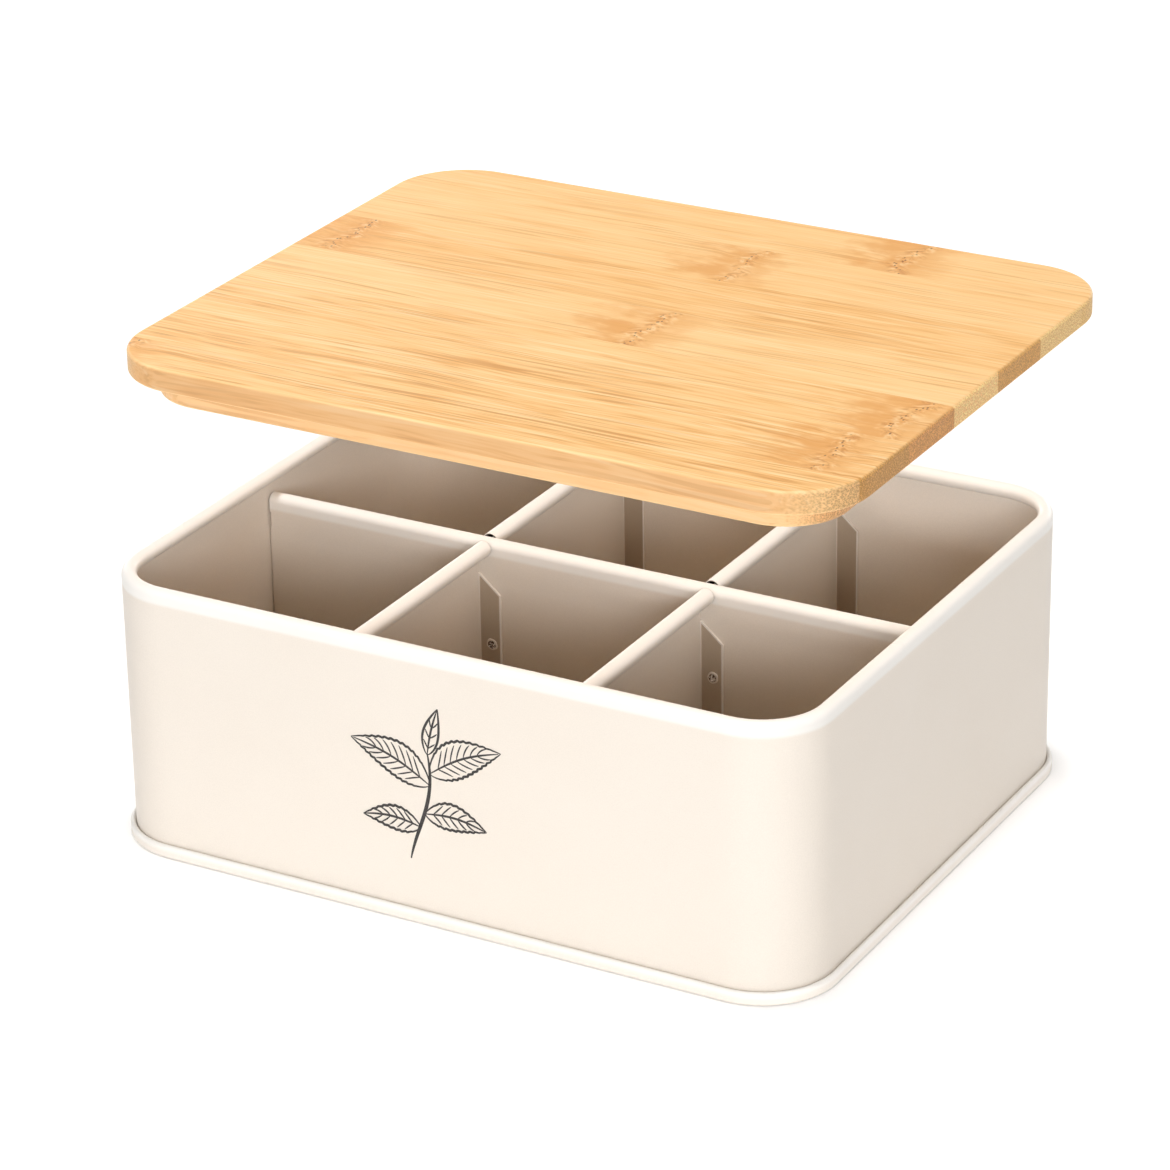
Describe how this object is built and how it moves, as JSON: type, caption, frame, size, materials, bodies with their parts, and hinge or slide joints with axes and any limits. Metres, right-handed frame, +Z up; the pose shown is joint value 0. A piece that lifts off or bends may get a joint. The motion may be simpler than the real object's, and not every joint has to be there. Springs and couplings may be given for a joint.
{
  "type": "tea bag organizer box",
  "caption": "Rounded steel storage box with rolled rim and folded base seam, split by sheet dividers into compartments, with a loose strip-glued wooden lid.",
  "frame": {"origin": "centre of the foot ring on the plane that the box stands on", "axes": "+Z up; +X along the box's longer side, to the right as seen from the front; -Y is the front"},
  "size_m": [0.2212, 0.1732, 0.1435],
  "materials": {
    "cream_paint": "satin",
    "bamboo_light": "satin lacquer",
    "bamboo_amber": "satin lacquer"
  },
  "bodies": {
    "box": {"wall_band": "cream_paint", "base_pan": "cream_paint", "long_divider": "cream_paint", "divider_front_left": "cream_paint", "divider_front_right": "cream_paint", "divider_back_left": "cream_paint", "divider_back_right": "cream_paint"},
    "lid": {"lid_strip_1": "bamboo_light", "lid_strip_2": "bamboo_amber", "lid_strip_3": "bamboo_amber", "lid_strip_4": "bamboo_light", "lid_strip_5": "bamboo_amber", "lid_strip_6": "bamboo_light", "lid_strip_7": "bamboo_light", "locator_strip_1": "bamboo_amber", "locator_strip_2": "bamboo_light", "locator_strip_3": "bamboo_amber", "locator_strip_4": "bamboo_amber", "locator_strip_5": "bamboo_light", "locator_strip_6": "bamboo_amber"}
  },
  "joints": [
    {"name": "lid_lift", "type": "slide", "parent": "box", "child": "lid", "axis": [0.1366, 0, 0.9906], "range_m": [-0.0583, 0.04]}
  ]
}
